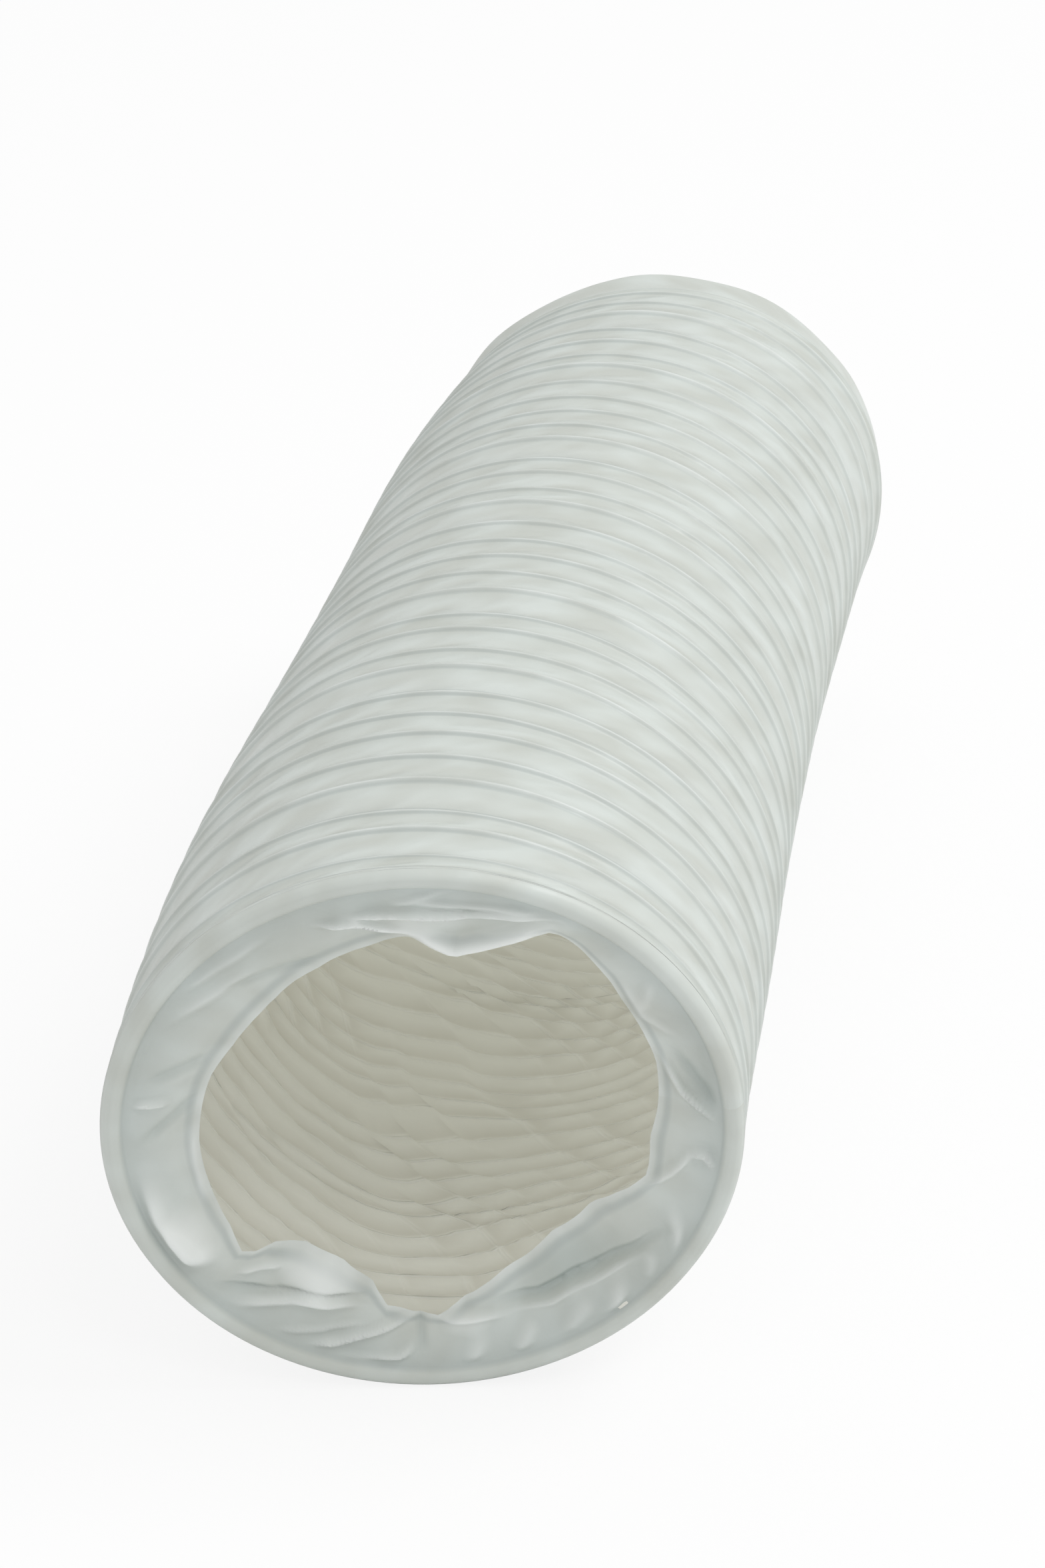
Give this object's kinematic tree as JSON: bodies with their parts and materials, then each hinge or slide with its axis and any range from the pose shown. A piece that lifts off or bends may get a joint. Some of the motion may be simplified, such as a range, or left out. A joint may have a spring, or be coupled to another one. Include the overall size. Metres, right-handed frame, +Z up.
{
  "type": "ventilation hose",
  "caption": "Flexible white film ventilation hose with a spring wire helix, pushed together and lying on its side, bowed a little.",
  "frame": {"origin": "on the floor under the middle of the hose's box", "axes": "+Z up, +Y along the hose from its open near mouth to its far end"},
  "size_m": [0.1088, 0.2862, 0.1048],
  "materials": {
    "pvc_film": "satin, thin and slightly translucent",
    "spring_wire": "drawn bright wire"
  },
  "bodies": {
    "root": {"film_wall": "pvc_film", "wire_helix": "spring_wire"}
  },
  "joints": []
}
